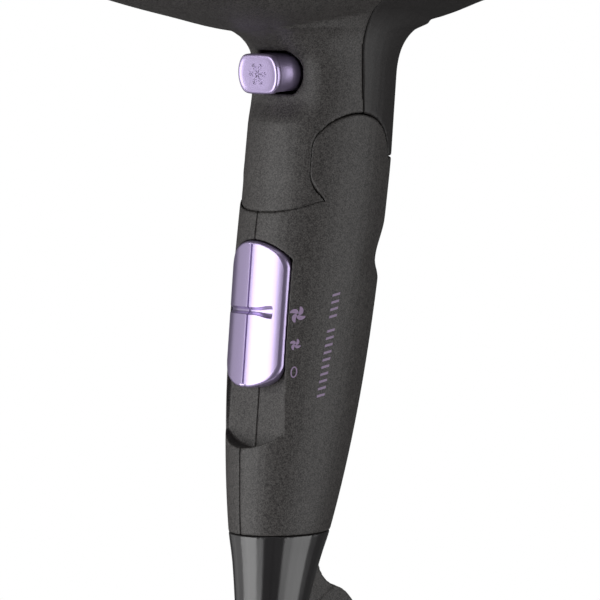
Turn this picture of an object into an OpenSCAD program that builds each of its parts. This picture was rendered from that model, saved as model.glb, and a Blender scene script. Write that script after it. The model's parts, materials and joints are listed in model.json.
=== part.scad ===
// Travel hair dryer with a folding handle. Millimetres, +Z up, +X towards the outlet.
// The origin is the middle of the outlet collar, on the barrel's axis.

/* [Barrel] */
// Distance from the handle pivot forward to the middle of the outlet collar
reach = 90; // [85:0.5:100]
// Height of the barrel's axis above the handle pivot
rise = 71; // [70:0.5:73]
// Outside radius of the outlet collar
collar_r = 22.2; // [21.8:0.1:22.6]
// Length of the outlet collar
collar_len = 12; // [10:0.5:14]
// Thickness of the moulded walls
wall = 2; // [1.8:0.1:2.2]

/* [Handle] */
// Mean half width of the handle at the pivot
grip_half = 19.65; // [19.4:0.05:19.9]
// Depth of the handle's lower end below the pivot
grip_len = 98; // [96:0.5:100]
// How much the mean half width drops by the lower end
grip_taper = 6.05; // [5.6:0.05:6.4]
// Forward lean of the grip, as a slope
lean = 0.148; // [0.14:0.002:0.156]
// Radius of the folding joint's round ears
ear_r = 13.3; // [13:0.1:13.6]
// Gap between parts that move past each other
gap = 0.3; // [0.25:0.05:0.4]

/* [Controls] */
// Half width of the speed slider
slider_half = 10.4; // [10:0.1:10.6]
// Top of the speed slider, below the pivot
slider_top = 20; // [19.5:0.1:20.5]
// Height of the speed slider
slider_len = 39; // [38:0.5:40]
// Travel of the speed slider from high to 0
slider_travel = 15.6; // [14:0.2:16]
// Depth of the slider's recess
recess_depth = 5.5; // [5:0.1:5.8]
// Radius of the cool shot button
button_r = 7.5; // [7.2:0.1:7.8]
// Height of the cool shot button above the pivot
button_z = 24; // [22.5:0.5:24]

/* [Hidden] */
$fn = 64;
around = 48;
seam_x = -1.5;
seam_gap = 0.2;
rear_butt_z = 1.2;
rear_end = -71;
front_end = 84;
lip = 1;
yoke_half = 12.3;
yoke_plate = 2;
yoke_r = 8;
pin_r = 3;
pin_clearance = 0.05;
button_tilt = 3;
button_flat = 0.72;
button_face_x = 20.4;
button_len = 12;
spring_len = 8;
slider_slope = atan(0.094);
slider_bulge = 0.7;
slider_thick = 4.9;
arch = 4.5;
guard_len = 58;
fan_x = -46;
motor_x = -24;
loop_x = -3.1;
loop_z = -126.7;
loop_r = 12.5;
loop_thick = 5.6;
arm_thick = 6.4;
black = [0.25, 0.245, 0.24];
lilac = [0.68, 0.58, 0.78];
gloss = [0.09, 0.09, 0.09];
mica = [0.78, 0.72, 0.6];
steel = [0.72, 0.72, 0.74];

// Places a part drawn about the handle pivot into the part's own frame.
module placed() {
    translate([-reach, 0, -rise]) children();
}

// Smooth step from 0 to 1 as t runs from 0 to 1.
function smooth(t) = let(c = min(1, max(0, t))) c * c * (3 - 2 * c);

// ---- Section rules of the handle and the neck ----
function centre_x(z) = -2.4 - (z < 0 ? lean : 0.11) * z;
function half(z) = z > 0 ? grip_half - 0.012 * z : grip_half - grip_taper * pow(-z / grip_len, 2.85);
function ratio(z) = 1.06 + 0.025 * smooth(-z / 40);
function deep(z) = half(z) * ratio(z);
function wide(z) = half(z) * sqrt(2 - ratio(z) * ratio(z));

// Finger notch in the back of the grip: how deep at height z and side angle a.
function notch_depth(z) = 2.1 * smooth((-z - 15) / 10.5) * (1 - smooth((-z - 26) / 5.5));
function notch(z, a) = notch_depth(z) * smooth((-cos(a) - 0.1) / 0.35);

// One ring of points of the grip, inset by t; front_cut pulls the front face in further.
function grip_ring(z, t, front_cut = 0) = [
    for (i = [0:around - 1])
        let(a = 360 * i / around)
        let(d = deep(z) - t - notch(z, a))
        let(w = wide(z) - t)
        let(x = d * cos(a))
        [centre_x(z) + min(x, deep(z) - t - front_cut), w * sin(a) * (1 - 0.35 * notch(z, a) / 20), z]
];

// Fillets between the neck and the barrel.
function arc_out(z, z0, r) = z < z0 ? 0 : r - sqrt(max(0, r * r - pow(min(z - z0, r), 2)));
function side_out(z) = z < 28.7 ? 0
    : z < 43.5 ? 20 - sqrt(400 - pow(z - 28.7, 2))
    : 20 - sqrt(400 - 14.8 * 14.8) + 0.5 * (z - 43.5);
// Dish in the neck's front around the button.
function dish(z, y) = 2.7 * smooth((z - 10.5) / 7) * (1 - smooth((z - 27) / 9)) * (1 - smooth((abs(y) - 6) / 9.5));

function neck_ring(z, t) = [
    for (i = [0:around - 1])
        let(a = 360 * i / around)
        let(front = cos(a) > 0)
        let(grow = front ? arc_out(z, 20.5, 15.5) : arc_out(z, 23.5, 13))
        let(inset = t + 0.7 * (1 - smooth((z + 8) / 9)) * (front ? cos(a) : 0))
        let(y = (wide(z) + side_out(z) - t) * sin(a))
        [centre_x(z) + (deep(z) + grow - inset) * cos(a) - (front ? dish(z, y) : 0), y, z]
];

// Solid from a stack of rings of equal count, closed with flat ends.
module loft(rings) {
    n = len(rings[0]);
    m = len(rings);
    points = [for (r = rings) for (p = r) p];
    sides = [
        for (j = [0:m - 2]) for (i = [0:n - 1])
            let(k = (i + 1) % n)
            each [[j * n + i, (j + 1) * n + i, (j + 1) * n + k], [j * n + i, (j + 1) * n + k, j * n + k]]
    ];
    ends = [[for (i = [0:n - 1]) i], [for (i = [n - 1:-1:0]) (m - 1) * n + i]];
    polyhedron(points, concat(sides, ends));
}

// ---- Barrel profile: radius along X, smooth through a few stations ----
BARREL = [[-82, 25.6], [-71, 27.6], [-58, 30.1], [-42, 33.9], [-22, 36.6], [-2, 37.2], [16, 36.7],
    [31, 35.1], [46, 32.1], [62, 28.8], [84, 23.7], [96, 21.6]];
function through(p, t) = let(a = p[0], b = p[1], c = p[2], d = p[3])
    0.5 * (2 * b + (c - a) * t + (2 * a - 5 * b + 4 * c - d) * t * t + (3 * b - a - 3 * c + d) * t * t * t);
function barrel_curve(inset, steps) = [
    for (k = [1:len(BARREL) - 3]) for (s = [0:steps - 1])
        let(p = through([for (q = [-1:2]) BARREL[k + q]], s / steps))
        [p[0], p[1] - inset],
    [front_end, BARREL[10][1] - inset]
];

// Solid of revolution about the barrel's axis, from a profile of [x, r] points.
module turned_x(profile) {
    translate([0, 0, rise]) rotate([0, 90, 0]) rotate_extrude() polygon([for (p = profile) [p[1], p[0]]]);
}

module barrel_solid(inset, steps) {
    c = barrel_curve(inset, steps);
    turned_x(concat([[c[0][0], 0]], c, [[c[len(c) - 1][0], 0]]));
}

// ---- Joint between the neck and the grip ----
// Height of the grip's rim at distance x forward of the pivot.
function rim_z(x) = -8.2 - 5 * pow(smooth((x - 9.4) / 16) , 0.5);
function rim_x(y) = centre_x(-12) + deep(-12) * sqrt(max(0.02, 1 - pow(y / wide(-12), 2)));
// Radius about the pivot that the neck's skirt turns inside the grip's lip.
function turn_r(y) = let(x = rim_x(y)) sqrt(pow(x - lip, 2) + pow(rim_z(x), 2));

// Side outline of all that belongs to the grip, grown by g.
module grip_side(g) {
    circle(r = ear_r + g);
    polygon(concat(
        [[-60, -grip_len - 2], [60, -grip_len - 2], [60, rim_z(26) + g]],
        [for (x = [25:-1.5:10]) [x, rim_z(x) + g]],
        [[9, -7 + g], [0, rear_butt_z + g], [-60, rear_butt_z + g]]
    ));
}

module across(h) {
    rotate([90, 0, 0]) translate([0, 0, -h / 2]) linear_extrude(h) children();
}

// Body of revolution about the hinge axis, of radius turn_r plus g.
module turning_body(g) {
    y_end = 15.6;
    profile = concat([[0, -y_end]], [for (y = [-y_end:1.2:y_end + 0.01]) [turn_r(abs(y)) + g, y]], [[0, y_end]]);
    rotate([90, 0, 0]) rotate_extrude() polygon(profile);
}

// Curved shield that closes the back of the joint when the handle is folded.
module rear_shield() {
    function shield_r(y) = 1.8 + (deep(0) - wall) * sqrt(1 - pow(y / (wide(0) - wall), 2));
    y_end = 12;
    outer = [for (y = [-y_end:2:y_end]) [shield_r(abs(y)), y]];
    inner = [for (y = [y_end:-2:-y_end]) [shield_r(abs(y)) - 1.6, y]];
    intersection() {
        rotate([90, 0, 0]) rotate_extrude() polygon(concat(outer, inner));
        translate([-40, -20, -40]) cube([40 + seam_x - seam_gap, 40, 47]);
    }
}

module neck_outer() {
    loft(concat([for (z = [-16:2:8]) neck_ring(z, 0)], [for (z = [9.5:1.5:45.5]) neck_ring(z, 0)],
        [neck_ring(50, 0)]));
}

// The neck's hollow; above the button it runs straight up into the barrel.
module neck_inner() {
    top = neck_ring(30, wall);
    loft(concat([for (z = [-18:4:30]) neck_ring(z, wall)], [[for (p = top) [p[0], p[1], 54]]]));
}

// Walls of the barrel and the neck, both halves in one, with the bosses that join them.
module housing_walls() {
    across_housing() difference() {
        cylinder(r = 3.2, h = 19);
        translate([0, 0, 1]) cylinder(r = 1.3, h = 16);
    }
    difference() {
        union() {
            barrel_solid(0, 4);
            neck_outer();
        }
        barrel_solid(wall, 2);
        neck_inner();
        difference() {
            across(60) grip_side(gap);
            turning_body(0);
        }
        intersection() {
            across(60) grip_side(gap);
            turning_body(1);
            translate([-60, -30, -120]) cube([60, 60, 140]);
        }
        for (s = [-1, 1]) {
            translate([0, s * 30, 0]) rotate([90, 0, 0]) cylinder(r = ear_r + gap, h = 2 * (30 - yoke_half), center = true);
        }
        translate([-60, -30, -60]) cube([120, 60, 60 - 15]);
    }
}

module button_axis() {
    translate([button_face_x, 0, button_z]) rotate([0, 90 + button_tilt, 0]) children();
}

module front_housing() {
    color(black) placed() difference() {
        intersection() {
            housing_walls();
            translate([seam_x, -60, -40]) cube([front_end - seam_x, 120, 200]);
        }
        button_axis() translate([0, 0, -20]) intersection() {
            cylinder(r = button_r + 0.45, h = 30);
            translate([-button_r * button_flat - 0.45, -20, 0]) cube([button_r * button_flat * 2 + 0.9, 40, 30]);
        }
    }
}

module rear_housing() {
    color(black) placed() union() {
        intersection() {
            housing_walls();
            translate([rear_end, -60, -40]) cube([seam_x - seam_gap - rear_end, 120, 200]);
        }
        rear_shield();
        translate([-22.4, -6, 3]) cube([3.6, 12, 4]);
    }
}

// Ring at the nozzle end that attachments push on to.
module outlet_collar() {
    color(gloss) turned_about_origin([[-6, collar_r - 3.4], [-10, collar_r - 3.4], [-10, collar_r - 1.6],
        [-collar_len / 2, collar_r - 1.6], [-collar_len / 2, collar_r], [collar_len / 2 - 0.8, collar_r],
        [collar_len / 2, collar_r - 0.8], [collar_len / 2, collar_r - 2], [-6, collar_r - 2]]);
}

module turned_about_origin(profile) {
    rotate([0, 90, 0]) rotate_extrude() polygon([for (p = profile) [p[1], p[0]]]);
}

// Concentric rings joined by spokes, lying across the X axis.
module ring_grille(radii, bar, depth, spokes, outer) {
    rotate([0, 90, 0]) union() {
        cylinder(r = 3, h = depth);
        for (r = radii) {
            difference() {
                cylinder(r = r, h = depth);
                translate([0, 0, -1]) cylinder(r = r - bar, h = depth + 2);
            }
        }
        for (k = [0:spokes - 1]) {
            rotate([0, 0, 180 * k / spokes]) translate([-outer, -bar / 2, 0]) cube([2 * outer, bar, depth]);
        }
    }
}

module outlet_grille() {
    color(gloss) translate([1, 0, 0]) ring_grille([collar_r - 2.02, 15.5, 10.5], 1.2, 2.4, 4, collar_r - 2.6);
}

// Cap over the air intake, with its rim turned into the barrel.
module intake_cap() {
    r = BARREL[1][1];
    color(black) placed() union() {
        turned_x([[rear_end + 5, r - 2.1], [rear_end + 5, r - 3.6], [rear_end - 5, r - 3.6],
            [rear_end - 6, r - 2.6], [rear_end - 4.5, r - 0.9], [rear_end - 2, r - 0.15],
            [rear_end - seam_gap, r - 0.1], [rear_end - seam_gap, r - 2.1]]);
        translate([rear_end - 5.4, 0, rise]) ring_grille([r - 3.1, 20.5, 16, 11.5, 7], 1.3, 2.2, 4, r - 3.3);
    }
}

// Fine screen behind the intake grille.
module lint_screen() {
    r = BARREL[1][1] - 3.7;
    color([0.35, 0.35, 0.35]) placed() translate([rear_end - 2.6, 0, rise]) union() {
        ring_grille([r, 18, 9], 1, 0.6, 2, r - 0.5);
        for (y = [-20:4:20]) {
            translate([0, y - 0.25, -sqrt(r * r - y * y) + 0.5]) cube([0.6, 0.5, 2 * sqrt(r * r - y * y) - 1]);
        }
    }
}

module tube_x(x0, x1, r_out, r_in) {
    translate([x0, 0, 0]) rotate([0, 90, 0]) difference() {
        cylinder(r = r_out, h = x1 - x0);
        translate([0, 0, -1]) cylinder(r = r_in, h = x1 - x0 + 2);
    }
}

module heater_sleeve() {
    color(mica) placed() translate([0, 0, rise]) tube_x(2, 74, 21, 20.4);
}

module heater_cross() {
    color(mica) placed() translate([0, 0, rise]) union() {
        translate([6, -20.3, -0.4]) cube([64, 40.6, 0.8]);
        translate([6, -0.4, -20.3]) cube([64, 0.8, 40.6]);
    }
}

// Heating wire: a row of round turns standing on the crossed boards.
module heater_coils() {
    color([0.6, 0.58, 0.55]) placed() translate([0, 0, rise]) union() {
        for (q = [0:3]) {
            rotate([45 + 90 * q, 0, 0]) translate([0, 0, 13]) for (k = [0:9]) {
                translate([14 + 5 * k, 0, 0]) rotate([0, 90, 0]) rotate_extrude($fn = 32) translate([3.4, 0]) circle(r = 0.45, $fn = 16);
            }
        }
    }
}

module thermostat() {
    color([0.85, 0.82, 0.75]) placed() translate([60, 0.4, rise + 4.5]) union() {
        cube([9, 7, 3]);
        translate([4.5, 3.5, 3]) cylinder(r = 2.6, h = 1.2);
    }
}

module thermal_fuse() {
    color(steel) placed() translate([18, 3.2, rise - 3.4]) rotate([0, 90, 0]) union() {
        cylinder(r = 1.9, h = 10);
        translate([0, 0, -6]) cylinder(r = 0.5, h = 22);
    }
}

module ion_generator() {
    color([0.2, 0.3, 0.5]) placed() union() {
        translate([34, -7, rise - 26.6]) cube([16, 14, 5]);
        translate([50, 0, rise - 24]) rotate([0, 90, 0]) cylinder(r = 0.6, h = 12);
    }
}

module motor_can() {
    color(steel) placed() translate([motor_x - 12, 0, rise]) rotate([0, 90, 0]) difference() {
        union() {
            cylinder(r = 13.8, h = 31);
            translate([0, 0, -2.5]) cylinder(r = 4, h = 3);
        }
        translate([0, 0, -3]) cylinder(r = 1.05, h = 29);
    }
}

// Ring and straightening vanes that hold the motor in the barrel.
module motor_mount() {
    color([0.9, 0.88, 0.82]) placed() translate([motor_x - 8, 0, rise]) rotate([0, 90, 0]) union() {
        difference() {
            cylinder(r = 33.3, h = 20);
            translate([0, 0, -1]) cylinder(r = 31.8, h = 22);
        }
        difference() {
            cylinder(r = 15.6, h = 20);
            translate([0, 0, -1]) cylinder(r = 13.85, h = 22);
        }
        for (k = [0:6]) {
            rotate([0, 0, 360 * k / 7]) translate([15.2, -0.7, 2]) cube([17, 1.4, 16]);
        }
    }
}

module motor_shaft() {
    color(steel) placed() translate([fan_x - 10, 0, rise]) rotate([0, 90, 0]) cylinder(r = 1, h = 40);
}

module fan_impeller() {
    color([0.8, 0.3, 0.25]) placed() translate([fan_x - 8, 0, rise]) rotate([0, 90, 0]) difference() {
        union() {
            cylinder(r = 9.5, h = 14);
            for (k = [0:8]) {
                rotate([0, 0, 40 * k]) translate([8.6, 0, 7]) rotate([38, 0, 0]) translate([0, -0.75, -7]) cube([19.6, 1.5, 14]);
            }
        }
        translate([0, 0, -1]) cylinder(r = 1, h = 16);
    }
}

// Button cut flat above and below, with a collar that keeps it in its hole.
module cool_shot_button() {
    color(lilac) placed() button_axis() difference() {
        union() {
            translate([0, 0, -button_len]) intersection() {
                cylinder(r = button_r, h = button_len);
                translate([-button_r * button_flat, -20, 0]) cube([button_r * button_flat * 2, 40, button_len]);
            }
            translate([0, 0, -button_len - 1.6]) cylinder(r = button_r + 1, h = 1.6);
        }
        translate([0, 0, -0.5]) intersection() {
            cylinder(r = button_r - 0.8, h = 1);
            translate([-button_r * button_flat + 0.8, -20, 0]) cube([button_r * button_flat * 2 - 1.6, 40, 1]);
        }
        for (k = [0:2]) {
            rotate([0, 0, 60 * k + 90]) translate([-3, -0.2, -0.8]) cube([6, 0.4, 1]);
        }
    }
}

module button_spring() {
    color(steel) placed() button_axis() translate([0, 0, -button_len - 1.6 - spring_len]) union() {
        for (k = [0:4]) {
            translate([0, 0, 0.4 + (spring_len - 0.8) * k / 4]) rotate_extrude($fn = 32) translate([3, 0]) circle(r = 0.36, $fn = 16);
        }
    }
}

module cool_shot_switch() {
    color([0.15, 0.15, 0.17]) placed() button_axis() translate([-4.5, -6.5, -button_len - 6.6 - spring_len]) union() {
        cube([9, 13, 5]);
        translate([3.7, 5.7, 5]) cube([1.6, 1.6, 1.2]);
    }
}

// Moulded yoke between the two ears, with the bores that the hinge pins turn in.
module hinge_yoke() {
    color([0.12, 0.12, 0.13]) placed() difference() {
        union() {
            for (s = [-1, 1]) {
                translate([0, s * (yoke_half - yoke_plate / 2), 0]) rotate([90, 0, 0]) cylinder(r = yoke_r, h = yoke_plate, center = true);
                translate([-8, s * (yoke_half - yoke_plate / 2) - yoke_plate / 2, 0]) cube([14, yoke_plate, 17]);
            }
            translate([-8, -14.6, 15]) cube([10, 29.2, 2]);
        }
        rotate([90, 0, 0]) cylinder(r = pin_r + pin_clearance, h = 40, center = true);
    }
}

module hinge_pins() {
    color(steel) placed() for (s = [-1, 1]) {
        translate([0, s * (yoke_half + 0.8), 0]) rotate([90, 0, 0]) cylinder(r = pin_r, h = 6.4, center = true);
    }
}

module wave_washers() {
    color(steel) placed() for (s = [-1, 1]) {
        translate([0, s * (yoke_half + 0.17), 0]) rotate([90, 0, 0]) difference() {
            cylinder(r = 5.5, h = 0.24, center = true);
            cylinder(r = pin_r + 0.2, h = 1, center = true);
        }
    }
}

// Frame of the slider: x out of the handle's front, z up along the slope, origin at the slider's top.
module slider_frame() {
    translate([centre_x(-slider_top) + deep(-slider_top), 0, -slider_top]) rotate([0, -slider_slope, 0]) children();
}

// Front outline of the slider or its recess, seen from the front, y across and z down:
// straight sides and arched ends that rise by the given amount.
module control_outline(w, h, rise_by) {
    arch_r = (w * w + rise_by * rise_by) / (2 * rise_by);
    translate([-w, rise_by - h]) square([2 * w, h - 2 * rise_by]);
    intersection() {
        translate([0, -arch_r]) circle(r = arch_r);
        translate([-w, -rise_by - 1]) square([2 * w, rise_by + 1]);
    }
    intersection() {
        translate([0, arch_r - h]) circle(r = arch_r);
        translate([-w, -h]) square([2 * w, rise_by + 1]);
    }
}

module prism_x(x0, x1) {
    translate([x0, 0, 0]) rotate([90, 0, 90]) linear_extrude(x1 - x0) children();
}

// Both halves of the grip in one: shell, ears, slider recess and the end that holds the guard.
module grip_walls() {
    heights = concat([for (z = [-grip_len:4:-34]) z], [for (z = [-32.5:1.5:-14]) z], [for (z = [-12:3.3:14.5]) z]);
    cut = recess_depth + 2.4;
    hollow = concat([[-grip_len + 3, 0], [-88, 0], [-82, cut]], [for (z = [-75:7:-26]) [z, cut]],
        [[-21.5, cut], [-19.6, 0], [-14, 0], [-7, 0], [0, 0], [8, 0], [16, 0]]);
    difference() {
        intersection() {
            loft([for (z = heights) grip_ring(z, 0)]);
            across(60) grip_side(0);
        }
        difference() {
            loft([for (h = hollow) grip_ring(h[0], wall, h[1])]);
            across_screws() cylinder(r = 3.4, h = 40, center = true);
            for (s = [-1, 1]) {
                translate([0, s * (yoke_half + gap + 4), 0]) rotate([90, 0, 0]) cylinder(r = ear_r, h = 8, center = true);
            }
        }
        intersection() {
            turning_body(0.25);
            translate([-9, -30, -60]) cube([69, 60, 80]);
            across(60) difference() {
                circle(r = 40);
                circle(r = ear_r + 0.1);
            }
        }
        intersection() {
            rotate([90, 0, 0]) cylinder(r = ear_r + 0.1, h = 2 * yoke_half + 0.3, center = true);
            translate([0, -30, -30]) cube([60, 60, 60]);
        }
        slider_frame() {
            prism_x(-recess_depth, 20) translate([0, 0.3]) control_outline(slider_half + 0.3, slider_len + slider_travel + 0.7, arch);
            prism_x(-20, 0) translate([-2.4, -6.4 - 20.2]) square([4.8, 20.2]);
        }
        rotate([90, 0, 0]) cylinder(r = pin_r, h = 2 * (yoke_half + 4), center = true);
        translate([centre_x(-grip_len), 0, -grip_len - 1]) cylinder(r = 8, h = 8);
        across_screws() translate([0, 0, -8]) cylinder(r = 1.3, h = 40);
        across_screws() translate([0, 0, 8.5]) cylinder(r = 2.7, h = 20);
    }
}

// Places what lies along the two screws that close the grip; the heads are on the -Y side.
module across_screws() {
    for (z = [-85, -52]) {
        translate([centre_x(z) - 8, 0, z]) rotate([90, 0, 0]) children();
    }
}

module handle_half(side) {
    color(black) placed() intersection() {
        grip_walls();
        translate([-60, side > 0 ? 0.06 : -40.06, -120]) cube([120, 40, 160]);
    }
}

module handle_shell_left() {
    handle_half(1);
}

module handle_shell_right() {
    handle_half(-1);
}

module switch_slider() {
    color(lilac) placed() slider_frame() difference() {
        intersection() {
            prism_x(slider_bulge + gap - slider_thick - 0.9, 6) control_outline(slider_half, slider_len, arch);
            translate([slider_bulge - 16.5, 0, -slider_len - 5]) cylinder(r = 16.5, h = slider_len + 10, $fn = 96);
        }
        translate([slider_bulge + 0.2, -20, -19]) rotate([0, 45, 0]) translate([-0.9, 0, -0.9]) cube([1.8, 40, 1.8]);
    }
}

module slider_stem() {
    color([0.15, 0.15, 0.17]) placed() slider_frame() translate([-15.6, -1.9, -10.5]) cube([15.6 - 4.8, 3.8, 3.6]);
}

module speed_switch() {
    color([0.75, 0.75, 0.72]) placed() slider_frame() translate([-20, -6, -36]) difference() {
        cube([6, 12, 30]);
        translate([3.5, 3.8, 2]) cube([4, 4.4, 40]);
    }
}

module switch_board() {
    color([0.15, 0.35, 0.2]) placed() slider_frame() translate([-21.6, -9, -50]) cube([1.6, 18, 44]);
}

module handle_screws() {
    color(steel) placed() across_screws() difference() {
        union() {
            translate([0, 0, -7.5]) cylinder(r = 1.3, h = 16.2);
            translate([0, 0, 8.5]) cylinder(r = 2.5, h = 1.8);
        }
        translate([-2, -0.25, 9.5]) cube([4, 0.5, 2]);
        translate([-0.25, -2, 9.5]) cube([0.5, 4, 2]);
    }
}

module housing_screws() {
    color(steel) placed() across_housing() translate([0, 0, 1]) cylinder(r = 1.3, h = 16);
}

// Places what lies along the two screws that join the housings.
module across_housing() {
    for (s = [-1, 1]) {
        translate([-11, s * 31, rise - 8]) rotate([0, 90, 0]) children();
    }
}

module cord_clamp() {
    color([0.8, 0.8, 0.78]) placed() translate([centre_x(-88) - 4, -6, -91.5]) difference() {
        cube([9, 12, 5]);
        translate([4.5, 6, -1]) cylinder(r = 3.4, h = 8);
    }
}

// Outer form of the guard: elliptical at the handle and round at its lower end.
module guard_body() {
    function guard_ring(t) =
        let(z = -grip_len - 0.15 - t, f = smooth(t / guard_len))
        let(m = 13.3 + 0.3 * (1 - smooth(t / 8)) - 0.2 * t + 0.00134 * t * t - 1.1 * smooth((t - 34) / 4))
        [for (i = [0:31]) let(a = 360 * i / 32)
            [centre_x(z) + m * (1.085 - 0.085 * f) * cos(a), m * (0.907 + 0.093 * f) * sin(a), z]];
    loft([for (t = [58, 57, 52, 47, 42, 38, 36, 34, 32, 27, 22, 18, 14, 11, 8, 5, 2.5, 0]) guard_ring(t)]);
}

// Guard, hollow for the cord.
module cord_guard() {
    color(gloss) placed() difference() {
        union() {
            guard_body();
            translate([centre_x(-grip_len), 0, -grip_len - 3]) cylinder(r = 7.7, h = 8);
        }
        guard_axis() translate([0, 0, -guard_len - 4]) cylinder(r = 3.4, h = guard_len + 20);
        for (k = [0:2]) {
            guard_axis() translate([0, 0, -43 - 4.5 * k]) difference() {
                cylinder(r = 20, h = 1.4);
                translate([0, 0, -1]) cylinder(r = 5.6 - 0.2 * k, h = 4);
            }
        }
    }
}

// Places what lies about the leaning axis of the guard, from the handle's end.
module guard_axis() {
    translate([centre_x(-grip_len), 0, -grip_len]) rotate([0, -atan(lean), 0]) children();
}

// Flat eye behind the guard, for hanging the dryer on a hook.
module hanging_loop() {
    color(black) placed() difference() {
        union() {
            across(loop_thick) loop_outline();
            across(arm_thick) intersection() {
                loop_outline();
                translate([-5.35, -114.3]) rotate(-33.4) translate([-30, 0]) square([60, 30]);
            }
        }
        translate([loop_x, 0, loop_z]) rotate([90, 0, 0]) cylinder(r = 7.5, h = 20, center = true);
        guard_body();
    }
}

// Side view of the loop: a disc joined to the guard by an arm with a hollow upper edge.
module loop_outline() {
    translate([loop_x, loop_z]) circle(r = loop_r);
    difference() {
        polygon([[-6.5, -116], [-6.5, -104], [centre_x(-104) - 8, -104], [centre_x(-136) - 4, -136],
            [loop_x, loop_z - loop_r + 1]]);
        translate([-8.2, -106]) circle(r = 8.7);
    }
}

front_housing();
rear_housing();
outlet_collar();
outlet_grille();
intake_cap();
lint_screen();
heater_sleeve();
heater_cross();
heater_coils();
thermostat();
thermal_fuse();
ion_generator();
motor_can();
motor_mount();
motor_shaft();
fan_impeller();
cool_shot_button();
button_spring();
cool_shot_switch();
hinge_yoke();
hinge_pins();
wave_washers();
handle_shell_left();
handle_shell_right();
switch_slider();
slider_stem();
speed_switch();
switch_board();
handle_screws();
housing_screws();
cord_clamp();
cord_guard();
hanging_loop();
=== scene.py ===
"""Looks of the travel hair dryer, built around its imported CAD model. Units are metres."""
import json
import math

import bmesh
import bpy
from mathutils import Matrix, Vector


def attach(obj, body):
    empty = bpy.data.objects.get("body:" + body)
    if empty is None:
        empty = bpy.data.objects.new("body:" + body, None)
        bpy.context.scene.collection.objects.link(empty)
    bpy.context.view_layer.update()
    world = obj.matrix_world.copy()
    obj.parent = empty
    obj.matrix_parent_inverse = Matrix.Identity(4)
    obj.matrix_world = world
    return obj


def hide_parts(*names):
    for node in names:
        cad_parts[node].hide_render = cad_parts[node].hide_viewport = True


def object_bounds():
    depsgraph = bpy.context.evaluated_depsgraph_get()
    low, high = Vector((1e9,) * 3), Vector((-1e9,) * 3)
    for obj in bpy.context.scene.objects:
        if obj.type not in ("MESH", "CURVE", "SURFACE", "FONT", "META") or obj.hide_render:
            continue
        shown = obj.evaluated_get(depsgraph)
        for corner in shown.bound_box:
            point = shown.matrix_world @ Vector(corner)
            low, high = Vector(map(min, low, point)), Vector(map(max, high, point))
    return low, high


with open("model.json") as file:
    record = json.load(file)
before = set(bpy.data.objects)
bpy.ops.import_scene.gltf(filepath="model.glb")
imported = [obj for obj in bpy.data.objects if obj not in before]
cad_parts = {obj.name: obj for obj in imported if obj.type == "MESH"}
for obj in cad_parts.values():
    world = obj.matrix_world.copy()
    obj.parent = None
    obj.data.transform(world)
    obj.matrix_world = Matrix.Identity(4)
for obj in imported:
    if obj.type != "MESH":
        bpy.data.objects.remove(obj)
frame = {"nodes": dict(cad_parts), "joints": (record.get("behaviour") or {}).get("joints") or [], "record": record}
CAD_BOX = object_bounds()
MM = 0.001
JOINTS = {j["name"]: j for j in frame["joints"]}
PIVOT = Vector(JOINTS["fold_hinge"]["pos_m"])

# ---------------------------------------------------------------- camera
VIEW_AZIMUTH = math.radians(135)
VIEW_ELEVATION = math.radians(5)
VIEW_DISTANCE = 1.3
VIEW_WIDTH = 0.1605
AIM_RIGHT = -0.00305
AIM_UP = -0.037


def direction(azimuth, elevation):
    """Unit vector from the object towards a viewer at these angles."""
    return Vector((math.sin(azimuth) * math.cos(elevation),
                   -math.cos(azimuth) * math.cos(elevation), math.sin(elevation)))


def make_camera():
    back = direction(VIEW_AZIMUTH, VIEW_ELEVATION)
    right = Vector((0, 0, 1)).cross(back).normalized()
    up = back.cross(right)
    aim = PIVOT + right * AIM_RIGHT + up * AIM_UP
    data = bpy.data.cameras.new("camera")
    data.sensor_width = 36
    data.lens = data.sensor_width * VIEW_DISTANCE / VIEW_WIDTH
    data.clip_start = 0.05
    data.clip_end = 20
    camera = bpy.data.objects.new("camera", data)
    bpy.context.scene.collection.objects.link(camera)
    camera.matrix_world = Matrix.Translation(aim + back * VIEW_DISTANCE) @ Matrix(
        (right, up, back)).transposed().to_4x4()
    bpy.context.scene.camera = camera


make_camera()


# ---------------------------------------------------------------- materials
def new_material(name):
    mat = bpy.data.materials.new(name)
    mat.use_nodes = True
    tree = mat.node_tree
    shader = tree.nodes["Principled BSDF"]
    return mat, tree, shader


def add(tree, kind, **values):
    """Adds a node, setting its properties or, by name, its input sockets."""
    node = tree.nodes.new(kind)
    for key, value in values.items():
        if hasattr(node, key):
            setattr(node, key, value)
        else:
            node.inputs[key.replace("_", " ")].default_value = value
    return node


def ramp(tree, stops):
    node = tree.nodes.new("ShaderNodeValToRGB")
    items = node.color_ramp.elements
    while len(items) < len(stops):
        items.new(0.5)
    for item, (place, value) in zip(items, stops):
        item.position = place
        item.color = (value, value, value, 1) if isinstance(value, float) else (*value, 1)
    return node


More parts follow.
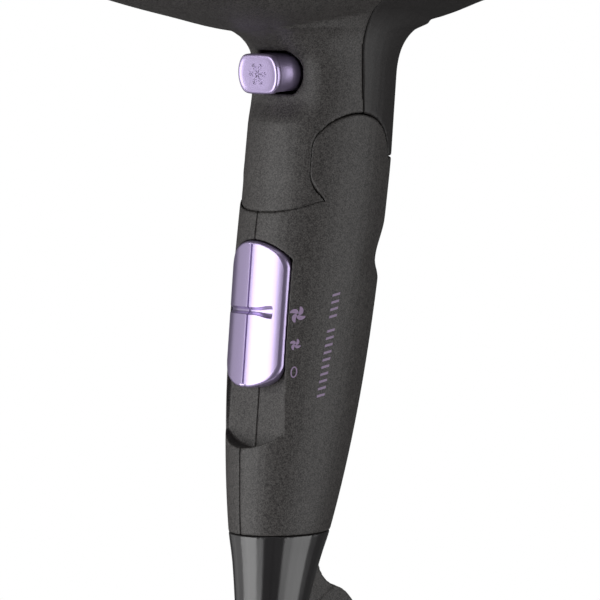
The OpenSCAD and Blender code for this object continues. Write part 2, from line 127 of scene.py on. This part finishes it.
def soft_coat(name, low, high, roughness, flake_scale=3600.0, flake_share=0.5):
    """Soft-touch black coat with fine pale flakes in it."""
    mat, tree, shader = new_material(name)
    place = add(tree, "ShaderNodeTexCoord")
    flakes = add(tree, "ShaderNodeTexVoronoi", Scale=flake_scale)
    tree.links.new(place.outputs["Object"], flakes.inputs["Vector"])
    colour = ramp(tree, [(0.0, low), (flake_share, tuple((a + b) / 2 for a, b in zip(low, high))), (1.0, high)])
    tree.links.new(flakes.outputs["Color"], colour.inputs["Fac"])
    tree.links.new(colour.outputs["Color"], shader.inputs["Base Color"])
    patches = add(tree, "ShaderNodeTexNoise", Scale=140.0, Detail=3.0)
    tree.links.new(place.outputs["Object"], patches.inputs["Vector"])
    rough = add(tree, "ShaderNodeMapRange")
    rough.inputs["To Min"].default_value = roughness - 0.04
    rough.inputs["To Max"].default_value = roughness + 0.05
    tree.links.new(patches.outputs["Fac"], rough.inputs["Value"])
    tree.links.new(rough.outputs["Result"], shader.inputs["Roughness"])
    bump = add(tree, "ShaderNodeBump", Strength=0.22, Distance=0.00006)
    tree.links.new(flakes.outputs["Distance"], bump.inputs["Height"])
    tree.links.new(bump.outputs["Normal"], shader.inputs["Normal"])
    shader.inputs["Specular IOR Level"].default_value = 0.42
    return mat


def plain(name, colour, roughness, metallic=0.0, grain=900.0, spread=0.12, bump_height=0.00002, coat=0.0):
    """Moulded or machined surface with slight mottling and a fine grain."""
    mat, tree, shader = new_material(name)
    place = add(tree, "ShaderNodeTexCoord")
    noise = add(tree, "ShaderNodeTexNoise", Scale=grain, Detail=4.0)
    tree.links.new(place.outputs["Object"], noise.inputs["Vector"])
    dark = tuple(c * (1 - spread) for c in colour)
    pale = tuple(min(1.0, c * (1 + spread)) for c in colour)
    tint = ramp(tree, [(0.3, dark), (0.7, pale)])
    tree.links.new(noise.outputs["Fac"], tint.inputs["Fac"])
    tree.links.new(tint.outputs["Color"], shader.inputs["Base Color"])
    bump = add(tree, "ShaderNodeBump", Strength=0.3, Distance=bump_height)
    tree.links.new(noise.outputs["Fac"], bump.inputs["Height"])
    tree.links.new(bump.outputs["Normal"], shader.inputs["Normal"])
    shader.inputs["Roughness"].default_value = roughness
    shader.inputs["Metallic"].default_value = metallic
    shader.inputs["Coat Weight"].default_value = coat
    shader.inputs["Coat Roughness"].default_value = 0.26
    return mat


COAT = soft_coat("soft_black", (0.006, 0.005, 0.005), (0.092, 0.086, 0.083), 0.5)
COAT_REAR = soft_coat("soft_black_rear", (0.012, 0.011, 0.011), (0.036, 0.033, 0.033), 0.48)
GLOSS = plain("gloss_black", (0.012, 0.011, 0.012), 0.3, grain=60.0, spread=0.2, bump_height=0.00003, coat=1.0)
LILAC = plain("lilac_satin", (0.52, 0.43, 0.68), 0.28, metallic=0.85, grain=5200.0, spread=0.05,
              bump_height=0.000008)
LILAC_INK = plain("lilac_ink", (0.30, 0.22, 0.35), 0.55, grain=2500.0)
MESH_GREY = plain("mesh_grey", (0.08, 0.08, 0.085), 0.5, metallic=0.6)
MICA = plain("mica", (0.55, 0.47, 0.35), 0.6, grain=180.0, spread=0.3)
WIRE = plain("wire", (0.4, 0.36, 0.32), 0.4, metallic=0.9)
STEEL = plain("steel", (0.55, 0.55, 0.57), 0.3, metallic=1.0, grain=1500.0)
NYLON = plain("dark_nylon", (0.022, 0.022, 0.024), 0.55)
CREAM = plain("switch_cream", (0.6, 0.57, 0.49), 0.45)
BOARD = plain("board_green", (0.03, 0.14, 0.07), 0.35)
FAN_RED = plain("fan_red", (0.4, 0.07, 0.05), 0.4)
MODULE = plain("module_blue", (0.04, 0.08, 0.22), 0.35)
SLOT_LOOKS = {
    "black_body": COAT, "gloss_black": GLOSS, "lilac_metal": LILAC, "mesh_grey": MESH_GREY, "mica": MICA,
    "wire": WIRE, "steel": STEEL, "dark_nylon": NYLON, "switch_cream": CREAM, "board_green": BOARD,
    "fan_red": FAN_RED, "module_blue": MODULE,
}


def dress_nodes():
    """Gives every CAD node the look of its material slot."""
    slots = {s["node"]: s["material_slot"] for s in frame["record"]["subparts"]}
    for name, obj in frame["nodes"].items():
        look = SLOT_LOOKS[slots[name]]
        if name in ("rear_housing", "intake_cap"):
            look = COAT_REAR
        if not obj.material_slots:
            obj.data.materials.append(look)
        for place in obj.material_slots:
            place.material = look


dress_nodes()

# ---------------------------------------------------------------- softened shells
SHELLS = {"front_housing": 0.45, "rear_housing": 0.45, "handle_shell_left": 0.32, "handle_shell_right": 0.32,
          "hanging_loop": 0.4, "intake_cap": 0.3, "outlet_collar": 0.3, "cord_guard": 0.35}


def soften(name, voxel_mm):
    """Rebuilds a shell's surface in fine cells and rounds its edges a little."""
    obj = frame["nodes"][name]
    cells = obj.modifiers.new("fine_surface", "REMESH")
    cells.mode = "VOXEL"
    cells.voxel_size = voxel_mm * MM
    cells.use_smooth_shade = True
    relax = obj.modifiers.new("rounded_edges", "SMOOTH")
    relax.factor = 0.5
    relax.iterations = 5


for shell, voxel in SHELLS.items():
    soften(shell, voxel)


# ---------------------------------------------------------------- pieces
def mesh_from(bm, name):
    mesh = bpy.data.meshes.new(name)
    bm.to_mesh(mesh)
    bm.free()
    return mesh


def bridge(bm, low, high):
    """Walls between two rings of the same number of points."""
    n = len(low)
    for i in range(n):
        k = (i + 1) % n
        bm.faces.new((low[i], low[k], high[k], high[i]))


def piece(name, mesh, body, material, replaced=()):
    """Places a finished mesh as a smooth-shaded piece that rides one body."""
    obj = bpy.data.objects.new(name, mesh)
    bpy.context.scene.collection.objects.link(obj)
    mesh.materials.append(material)
    for face in mesh.polygons:
        face.use_smooth = True
    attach(obj, body)
    if replaced:
        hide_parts(*replaced)


# Section rules of the grip, as the CAD model has them, in millimetres from the pivot.
GRIP_LEN = 98
GRIP_HALF = 19.65
GRIP_TAPER = 6.05
TAPER_POWER = 2.85
LEAN = 0.148
GRIP_SETBACK = 2.4
RATIO_TOP = 1.06
RATIO_GAIN = 0.025
RATIO_RUN = 40


def smooth(t):
    """Eases from 0 to 1 as t does."""
    t = min(1.0, max(0.0, t))
    return t * t * (3 - 2 * t)


def centre_x(z):
    return -GRIP_SETBACK - LEAN * z


def half(z):
    return GRIP_HALF - GRIP_TAPER * (-z / GRIP_LEN) ** TAPER_POWER


def ratio(z):
    """How much deeper the grip is, front to back, than a circle of its size."""
    return RATIO_TOP + RATIO_GAIN * smooth(-z / RATIO_RUN)


def deep(z):
    return half(z) * ratio(z)


def wide(z):
    return half(z) * math.sqrt(2 - ratio(z) ** 2)


def grip_point(z, angle, out_mm=0.0):
    """Point on the grip's side at height z and ring angle, raised off it by out_mm."""
    c = math.cos(angle)
    s = math.sin(angle)
    normal = Vector((c / deep(z), s / wide(z), 0)).normalized()
    place = Vector((centre_x(z) + deep(z) * c, wide(z) * s, z)) + normal * out_mm
    return PIVOT + place * MM


# ---- speed slider
SLIDER_TOP = -20.0
SLIDER_SLOPE = math.atan(0.094)
SLIDER_HALF = 10.4
SLIDER_LEN = 39.0
SLIDER_CROWN = 16.5
SLIDER_BULGE = 0.7
SLIDER_UNDER = -4.8
SLIDER_ARCH = 4.5
SLIDER_CORNER = 2.4
SLIDER_EDGE = 0.9
SLIDER_EDGE_STEPS = 6
SLIDER_COLUMNS = 160
SLIDER_ROWS = 300
GROOVE_DROP = 18.6
GROOVE_DEPTH = 0.9
GROOVE_HALF = 0.95
GROOVE_FLARE = 0.75
GROOVE_FLARE_START = 2.5
GROOVE_FLARE_LENGTH = 4.5
GROOVE_END = 7.2
GROOVE_END_LENGTH = 0.35
LINE_DEPTH = 1.5
LINE_HALF = 0.2


def slider_matrix():
    """Slider's own axes: out of the grip, across it, and up it, in millimetres."""
    origin = PIVOT + Vector((centre_x(SLIDER_TOP) + deep(SLIDER_TOP), 0, SLIDER_TOP)) * MM
    return Matrix.Translation(origin) @ Matrix.Rotation(-SLIDER_SLOPE, 4, "Y") @ Matrix.Scale(MM, 4)


def slider_end(y, inset):
    """Height of the slider's arched top edge, with its rounded corners."""
    radius = (SLIDER_HALF ** 2 + SLIDER_ARCH ** 2) / (2 * SLIDER_ARCH)
    into_corner = (abs(y) - SLIDER_HALF + inset + SLIDER_CORNER) / SLIDER_CORNER
    t = min(1.0, max(0.0, into_corner))
    drop = SLIDER_CORNER * (1 - math.sqrt(1 - t * t))
    return math.sqrt((radius - inset) ** 2 - y * y) - radius - drop


def slider_outline(inset, side_parts=60, end_parts=48):
    """Front outline of the slider, y across and z down: straight sides and arched ends."""
    w = SLIDER_HALF - inset
    across = [w * math.sin(math.pi / 2 * (1 - 2 * k / end_parts)) for k in range(end_parts + 1)]
    side_top = slider_end(w, inset)
    side_low = -SLIDER_LEN - side_top
    down = [side_top + (side_low - side_top) * k / side_parts for k in range(1, side_parts)]
    points = [(y, slider_end(y, inset)) for y in across]
    points += [(-w, z) for z in down]
    points += [(y, -SLIDER_LEN - slider_end(y, inset)) for y in reversed(across)]
    points += [(w, z) for z in reversed(down)]
    return points


def slider_face_x(y, z):
    """How far out the slider's face stands, with its thumb groove and the line down its middle."""
    crown = SLIDER_BULGE - SLIDER_CROWN + math.sqrt(SLIDER_CROWN ** 2 - y * y)
    open_half = GROOVE_HALF + GROOVE_FLARE * smooth((y - GROOVE_FLARE_START) / GROOVE_FLARE_LENGTH)
    off = abs(z + GROOVE_DROP)
    bowl = max(0.0, 1 - (off / open_half) ** 2)
    groove = GROOVE_DEPTH * bowl * (1 - smooth((y - GROOVE_END) / GROOVE_END_LENGTH))
    line = LINE_DEPTH * math.exp(-(y / LINE_HALF) ** 4)
    return crown - groove - line


def make_slider():
    """Wall, rounded edge and a finely gridded face."""
    bm = bmesh.new()
    place = slider_matrix()
    rings = []
    for inset, depth in ((0.5, SLIDER_UNDER), (0.1, SLIDER_UNDER + 0.3)):
        rings.append([bm.verts.new(place @ Vector((depth, y, z))) for y, z in slider_outline(inset)])
    for k in range(SLIDER_EDGE_STEPS + 1):
        a = math.radians(90 * k / SLIDER_EDGE_STEPS)
        inset = SLIDER_EDGE * (1 - math.cos(a))
        sink = SLIDER_EDGE * (1 - math.sin(a))
        rings.append([bm.verts.new(place @ Vector((slider_face_x(y, z) - sink, y, z)))
                      for y, z in slider_outline(inset)])
    for low, high in zip(rings, rings[1:]):
        bridge(bm, low, high)
    bm.faces.new(list(reversed(rings[0])))
    # Columns lie closest at the middle line and at the two sides.
    grid = []
    for i in range(SLIDER_COLUMNS + 1):
        u = -1 + 2 * i / SLIDER_COLUMNS
        y = (SLIDER_HALF - SLIDER_EDGE) * math.sin(math.pi / 2 * (0.4 * u + 0.6 * u ** 3))
        top = slider_end(y, SLIDER_EDGE)
        low = -SLIDER_LEN - top
        column = [top + (low - top) * k / SLIDER_ROWS for k in range(SLIDER_ROWS + 1)]
        grid.append([bm.verts.new(place @ Vector((slider_face_x(y, z), y, z))) for z in column])
    for left, right in zip(grid, grid[1:]):
        for k in range(SLIDER_ROWS):
            bm.faces.new((left[k], right[k], right[k + 1], left[k + 1]))
    bmesh.ops.recalc_face_normals(bm, faces=bm.faces)
    mesh = mesh_from(bm, "slider_cover")
    piece("slider_cover", mesh, "slider", LILAC, ["switch_slider"])


make_slider()

# ---- cool shot button
BUTTON_R = 7.5
BUTTON_FLAT = 0.72
BUTTON_TILT = math.radians(3)
BUTTON_FACE = Vector((20.4, 0, 24))
BUTTON_LEN = 12.4
BUTTON_CORNER = 0.65
BUTTON_RIM = 0.75
# Inset from the outline and depth behind the face, from the back of the stem to the foot of the rim.
BUTTON_STEM = [(0.3, -BUTTON_LEN), (0.3, -6.0), (0.3, -2.0), (0.24, -1.75), (0.06, -1.6), (0.0, -1.4),
               (0.0, -BUTTON_RIM)]
# The same over the face, which is slightly dished.
BUTTON_DISH = [(1.0, -0.02), (1.3, -0.07), (1.7, -0.11), (2.4, -0.13), (4.0, -0.14)]


def button_matrix():
    """Button's own axes: down it, across it, and out of its face, in millimetres."""
    return (Matrix.Translation(PIVOT + BUTTON_FACE * MM)
            @ Matrix.Rotation(math.radians(90) + BUTTON_TILT, 4, "Y")
            @ Matrix.Scale(MM, 4))


def cut_circle(radius, flat, count=144):
    """Circle cut flat on two sides, with softened corners; local x runs down the button."""
    points = []
    for k in range(count):
        a = 2 * math.pi * k / count
        x = radius * math.cos(a)
        clipped = -BUTTON_CORNER * math.log(math.exp(-abs(x) / BUTTON_CORNER) + math.exp(-flat / BUTTON_CORNER))
        points.append((math.copysign(max(0.0, clipped), x), radius * math.sin(a)))
    return points


def make_button():
    """Stem, rounded rim and dished face, as rings of one outline."""
    bm = bmesh.new()
    place = button_matrix()
    turns = [math.radians(a) for a in (15, 30, 45, 60, 75, 90)]
    rim = [(BUTTON_RIM * (1 - math.cos(a)), -BUTTON_RIM * (1 - math.sin(a))) for a in turns]
    rings = []
    for inset, height in BUTTON_STEM + rim + BUTTON_DISH:
        outline = cut_circle(BUTTON_R - inset, BUTTON_R * BUTTON_FLAT - inset)
        rings.append([bm.verts.new(place @ Vector((x, y, height))) for x, y in outline])
    for low, high in zip(rings, rings[1:]):
        bridge(bm, low, high)
    bm.faces.new(list(reversed(rings[0])))
    bm.faces.new(rings[-1])
    bmesh.ops.recalc_face_normals(bm, faces=bm.faces)
    mesh = mesh_from(bm, "button_cap")
    piece("button_cap", mesh, "cool_shot", LILAC, ["cool_shot_button"])


make_button()

# ---- snowflake on the button, with the twigs a hair lower than the arms they cross
SNOW_ARM = 3.1
SNOW_ARM_WIDTH = 0.3
SNOW_ARM_TOP = -0.1
SNOW_HUB = 0.35
SNOW_FORKS = (1.5, 2.35)
SNOW_FORK_TURN = math.radians(52)
SNOW_TWIG = 0.75
SNOW_TWIG_WIDTH = 0.24
SNOW_TWIG_TOP = -0.105
SNOW_BASE = -0.5


def bar(bm, place, start, end, width, top):
    """Thin raised bar between two points of a flat face."""
    a = Vector(start)
    b = Vector(end)
    side = Vector((-(b - a).y, (b - a).x)).normalized() * width / 2
    corners = [a + side, b + side, b - side, a - side]
    low = [bm.verts.new(place @ Vector((c.x, c.y, SNOW_BASE))) for c in corners]
    high = [bm.verts.new(place @ Vector((c.x, c.y, top))) for c in corners]
    bm.faces.new(list(reversed(low)))
    bm.faces.new(high)
    bridge(bm, low, high)


def make_snowflake():
    """Plain six-armed snowflake standing in the button's dished face."""
    bm = bmesh.new()
    place = button_matrix()
    for k in range(6):
        a = math.radians(60 * k + 30)
        out = Vector((math.cos(a), math.sin(a)))
        bar(bm, place, out * SNOW_HUB, out * SNOW_ARM, SNOW_ARM_WIDTH, SNOW_ARM_TOP)
        for reach in SNOW_FORKS:
            for turn in (-1, 1):
                b = a + turn * SNOW_FORK_TURN
                tip = out * reach + Vector((math.cos(b), math.sin(b))) * SNOW_TWIG
                bar(bm, place, out * reach, tip, SNOW_TWIG_WIDTH, SNOW_TWIG_TOP)
    bmesh.ops.recalc_face_normals(bm, faces=bm.faces)
    mesh = mesh_from(bm, "snowflake")
    piece("snowflake", mesh, "cool_shot", LILAC)


make_snowflake()


# ---- printed marks on the grip
INK_BASE = -0.15
INK_TOP = 0.035


def ink_prism(bm, ring_at):
    """Closed thin prism whose outline ring_at(out_mm) gives at any height off the grip."""
    low = [bm.verts.new(p) for p in ring_at(INK_BASE)]
    high = [bm.verts.new(p) for p in ring_at(INK_TOP)]
    bm.faces.new(high)
    bm.faces.new(list(reversed(low)))
    bridge(bm, low, high)


def ink_piece(name, bm):
    bmesh.ops.triangulate(bm, faces=bm.faces[:])
    bmesh.ops.recalc_face_normals(bm, faces=bm.faces[:])
    mesh = mesh_from(bm, name)
    piece(name, mesh, "handle", LILAC_INK)
    for face in mesh.polygons:
        face.use_smooth = False


def printed(name, outlines, angle_deg, z_mid):
    """Thin ink shapes on the grip; each outline is a list of (across, up) points in millimetres."""
    bm = bmesh.new()
    turn = math.radians(angle_deg)
    arc = math.hypot(deep(z_mid) * math.sin(turn), wide(z_mid) * math.cos(turn))
    for outline in outlines:
        ink_prism(bm, lambda out_mm, shape=outline: [
            grip_point(z_mid + v, turn + u / arc, out_mm) for u, v in shape])
    ink_piece(name, bm)


def fan_blades(size):
    """Four curved blades about a hub, each a leaf along a spiral."""
    shapes = []
    steps = 10
    for k in range(4):
        base = math.radians(90 * k + 10)
        sides = ([], [])
        for t in range(steps + 1):
            f = t / steps
            r = size * (0.12 + 0.88 * f)
            a = base + 1.15 * f
            half_width = size * 0.27 * math.sin(math.pi * (0.12 + 0.8 * f)) ** 0.8
            for side, sign in zip(sides, (-1, 1)):
                side.append((r * math.cos(a) - sign * half_width * math.sin(a + 0.5),
                             r * math.sin(a) + sign * half_width * math.cos(a + 0.5)))
        shapes.append(sides[0] + list(reversed(sides[1])))
    return shapes


def oval(w, h, start, turns):
    """Points of an ellipse with half axes w and h, at turns counted on from start, in degrees."""
    angles = [math.radians(start + a) for a in turns]
    return [(w * math.cos(a), h * math.sin(a)) for a in angles]


def zero_ring(w, h, line):
    """The digit 0 as two half rings."""
    return [oval(w, h, start, range(0, 181, 15)) + oval(w - line, h - line, start, range(180, -1, -15))
            for start in (0, 180)]


printed("icon_high", fan_blades(2.15), 46.3, -39.1)
printed("icon_low", fan_blades(1.5), 46.9, -47.0)
printed("icon_off", zero_ring(0.9, 1.5, 0.32), 48.0, -54.3)

# The mark's angle about the grip at MARK_MIDDLE, and how far it drifts per millimetre up the grip.
MARK_ANGLE = 74.5
MARK_DRIFT = 0.1
MARK_MIDDLE = -48
MARK_TOP = -34.3
MARK_PITCH = 1.9
MARK_STROKES = 15
MARK_GAP = 4
MARK_HALF = 1.15


def mark_bars():
    """Row of short slanted strokes with one left out."""
    strokes = []
    for k in range(MARK_STROKES):
        if k == MARK_GAP:
            continue
        z = MARK_TOP - MARK_PITCH * k
        strokes.append([(-MARK_HALF, z - 0.4), (MARK_HALF, z + 0.1),
                        (MARK_HALF, z + 0.75), (-MARK_HALF, z + 0.25)])
    return strokes


def make_mark():
    """Plain mark down the grip, in one piece."""
    bm = bmesh.new()
    for stroke in mark_bars():
        def ring_at(out_mm, shape=stroke):
            points = []
            for u, z in shape:
                angle = math.radians(MARK_ANGLE + (z - MARK_MIDDLE) * MARK_DRIFT)
                arc = math.hypot(deep(z) * math.sin(angle), wide(z) * math.cos(angle))
                points.append(grip_point(z, angle + u / arc, out_mm))
            return points
        ink_prism(bm, ring_at)
    ink_piece("mark", bm)


make_mark()

# ---------------------------------------------------------------- stage and light
FLOOR_DROP = 0.25
FLOOR_RADIUS = 0.3
FLOOR_SIDES = 96
FILL_LIGHT = 0.07
LIGHT_DROP = 0.08


def make_floor():
    """Plain pale disc below the dryer."""
    bm = bmesh.new()
    z = CAD_BOX[0][2] - FLOOR_DROP
    turns = [2 * math.pi * k / FLOOR_SIDES for k in range(FLOOR_SIDES)]
    bm.faces.new([bm.verts.new((PIVOT.x + FLOOR_RADIUS * math.cos(a), FLOOR_RADIUS * math.sin(a), z))
                  for a in turns])
    mesh = mesh_from(bm, "floor")
    floor = bpy.data.objects.new("floor", mesh)
    bpy.context.scene.collection.objects.link(floor)
    mat, _, shader = new_material("pale_floor")
    shader.inputs["Base Color"].default_value = (0.9, 0.9, 0.9, 1)
    shader.inputs["Roughness"].default_value = 0.9
    mesh.materials.append(mat)


def area_light(name, azimuth_deg, elevation_deg, distance, width, height, power):
    """Soft box that faces the handle from these angles."""
    data = bpy.data.lights.new(name, "AREA")
    data.shape = "RECTANGLE"
    data.size = width
    data.size_y = height
    data.energy = power
    lamp = bpy.data.objects.new(name, data)
    bpy.context.scene.collection.objects.link(lamp)
    back = direction(math.radians(azimuth_deg), math.radians(elevation_deg))
    right = Vector((0, 0, 1)).cross(back).normalized()
    up = back.cross(right)
    middle = PIVOT + Vector((0, 0, -LIGHT_DROP))
    facing = Matrix((right, up, back)).transposed().to_4x4()
    lamp.matrix_world = Matrix.Translation(middle + back * distance) @ facing


def make_world():
    """White backdrop that lights the object only dimly, so that the soft boxes shape it."""
    world = bpy.data.worlds.new("studio")
    world.use_nodes = True
    tree = world.node_tree
    seen = tree.nodes["Background"]
    seen.inputs["Color"].default_value = (1, 1, 1, 1)
    fill = add(tree, "ShaderNodeBackground", Strength=FILL_LIGHT)
    rays = add(tree, "ShaderNodeLightPath")
    mix = add(tree, "ShaderNodeMixShader")
    tree.links.new(rays.outputs["Is Camera Ray"], mix.inputs["Fac"])
    tree.links.new(fill.outputs["Background"], mix.inputs[1])
    tree.links.new(seen.outputs["Background"], mix.inputs[2])
    tree.links.new(mix.outputs["Shader"], tree.nodes["World Output"].inputs["Surface"])
    bpy.context.scene.world = world
    bpy.context.scene.view_settings.view_transform = "Standard"


make_floor()
make_world()
area_light("left_box", 80, -4, 0.9, 0.92, 1.1, 9.2)
area_light("left_fill", 28, -4, 0.9, 0.84, 1.1, 1.4)
area_light("right_box", 200, -4, 0.9, 0.95, 1.1, 5.6)
area_light("top_box", 120, 62, 1.1, 0.9, 0.9, 1.2)
